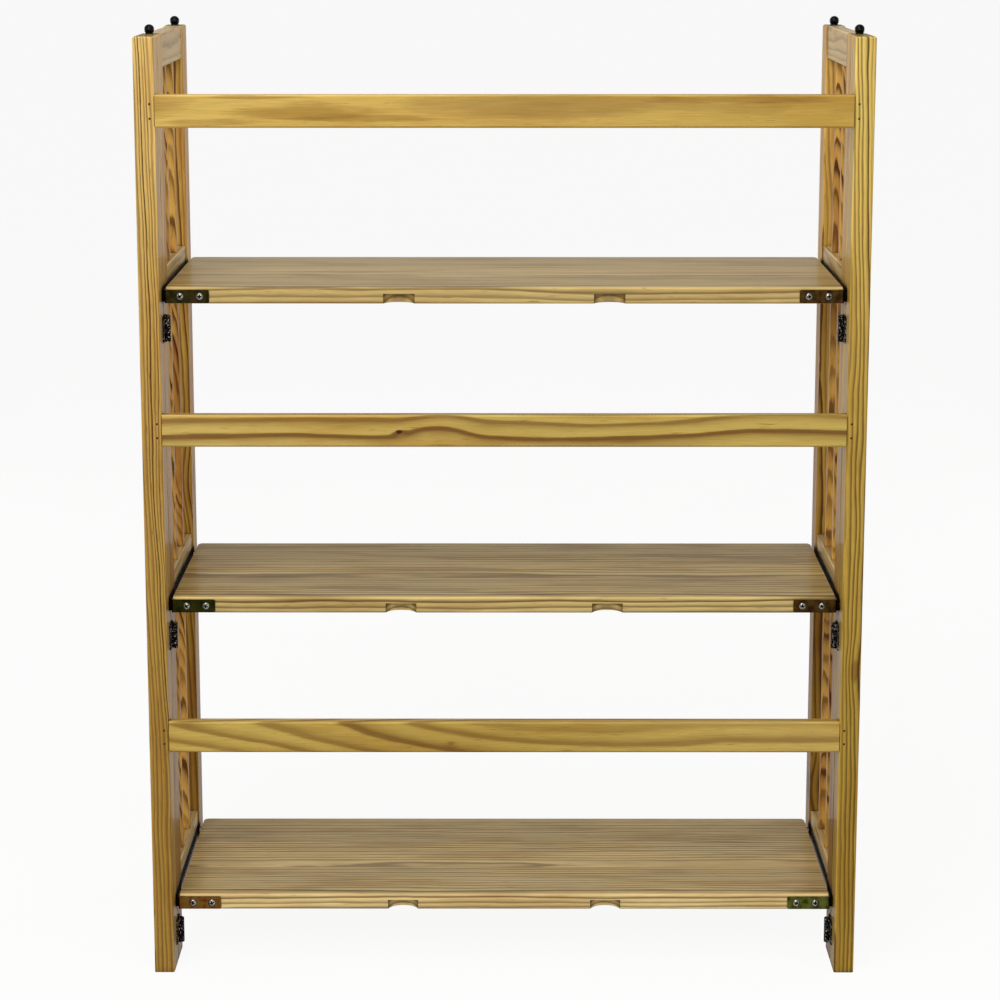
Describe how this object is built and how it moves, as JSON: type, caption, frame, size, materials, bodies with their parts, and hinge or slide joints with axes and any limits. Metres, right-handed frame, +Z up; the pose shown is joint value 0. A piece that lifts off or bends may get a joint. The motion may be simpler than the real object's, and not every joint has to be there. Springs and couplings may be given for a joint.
{
  "type": "folding bookcase",
  "caption": "Stackable folding bookcase: an open back frame with fold-up shelves and slatted side panels on butt hinges.",
  "frame": {"origin": "on the floor, in the middle of the width and of the depth", "axes": "+Z up, -Y towards the back frame, +X to the right when the back frame is looked at from behind"},
  "size_m": [0.696, 0.292, 0.9314],
  "materials": {
    "lacquered_pine": "clear satin lacquer over straight-grained pine",
    "black_steel": "black oxide, satin",
    "bronzed_steel": "dark bronzed plate with olive and brown tints",
    "zinc_plated_steel": "bright zinc plate",
    "gloss_black_steel": "gloss black",
    "brad_steel": "sunk and stained over"
  },
  "bodies": {
    "back_frame": {"back_post_left": "lacquered_pine", "back_post_right": "lacquered_pine", "back_rail_top": "lacquered_pine", "back_rail_middle": "lacquered_pine", "back_rail_bottom": "lacquered_pine", "rail_brads_left": "brad_steel", "post_hinge_leaves_left": "black_steel", "hinge_pins_left": "black_steel", "post_leaf_screws_left": "zinc_plated_steel", "shelf_pivot_bolts_left": "zinc_plated_steel", "pivot_spacers_left": "black_steel", "rail_brads_right": "brad_steel", "post_hinge_leaves_right": "black_steel", "hinge_pins_right": "black_steel", "post_leaf_screws_right": "zinc_plated_steel", "shelf_pivot_bolts_right": "zinc_plated_steel", "pivot_spacers_right": "black_steel"},
    "side_panel_left": {"rear_stile_left": "lacquered_pine", "front_stile_left": "lacquered_pine", "panel_top_rail_left": "lacquered_pine", "panel_cross_rail_top_left": "lacquered_pine", "spindles_top_left": "lacquered_pine", "panel_cross_rail_middle_left": "lacquered_pine", "spindles_middle_left": "lacquered_pine", "panel_cross_rail_bottom_left": "lacquered_pine", "spindles_bottom_left": "lacquered_pine", "shelf_pegs_left": "zinc_plated_steel", "stacking_pins_left": "gloss_black_steel", "panel_hinge_leaves_left": "black_steel", "panel_leaf_screws_left": "zinc_plated_steel"},
    "side_panel_right": {"rear_stile_right": "lacquered_pine", "front_stile_right": "lacquered_pine", "panel_top_rail_right": "lacquered_pine", "panel_cross_rail_top_right": "lacquered_pine", "spindles_top_right": "lacquered_pine", "panel_cross_rail_middle_right": "lacquered_pine", "spindles_middle_right": "lacquered_pine", "panel_cross_rail_bottom_right": "lacquered_pine", "spindles_bottom_right": "lacquered_pine", "shelf_pegs_right": "zinc_plated_steel", "stacking_pins_right": "gloss_black_steel", "panel_hinge_leaves_right": "black_steel", "panel_leaf_screws_right": "zinc_plated_steel"},
    "shelf_top": {"shelf_board_top": "lacquered_pine", "shelf_bracket_top_left": "bronzed_steel", "shelf_bracket_top_right": "bronzed_steel", "bracket_screws_top": "zinc_plated_steel"},
    "shelf_middle": {"shelf_board_middle": "lacquered_pine", "shelf_bracket_middle_left": "bronzed_steel", "shelf_bracket_middle_right": "bronzed_steel", "bracket_screws_middle": "zinc_plated_steel"},
    "shelf_bottom": {"shelf_board_bottom": "lacquered_pine", "shelf_bracket_bottom_left": "bronzed_steel", "shelf_bracket_bottom_right": "bronzed_steel", "bracket_screws_bottom": "zinc_plated_steel"}
  },
  "joints": [
    {"name": "shelf_fold_top", "type": "hinge", "parent": "back_frame", "child": "shelf_top", "pos_m": [0, -0.118, 0.6751], "axis": [1, 0, 0], "range_deg": [0, 91]},
    {"name": "shelf_fold_middle", "type": "hinge", "parent": "back_frame", "child": "shelf_middle", "pos_m": [0, -0.118, 0.3703], "axis": [1, 0, 0], "range_deg": [0, 91]},
    {"name": "shelf_fold_bottom", "type": "hinge", "parent": "back_frame", "child": "shelf_bottom", "pos_m": [0, -0.118, 0.0655], "axis": [1, 0, 0], "range_deg": [0, 91]},
    {"name": "panel_swing_left", "type": "hinge", "parent": "back_frame", "child": "side_panel_left", "pos_m": [-0.3251, -0.11075, 0.4611], "axis": [0, 0, -1], "range_deg": [0, 1]},
    {"name": "panel_swing_right", "type": "hinge", "parent": "back_frame", "child": "side_panel_right", "pos_m": [0.3251, -0.11075, 0.4611], "axis": [0, 0, 1], "range_deg": [0, 1]}
  ]
}
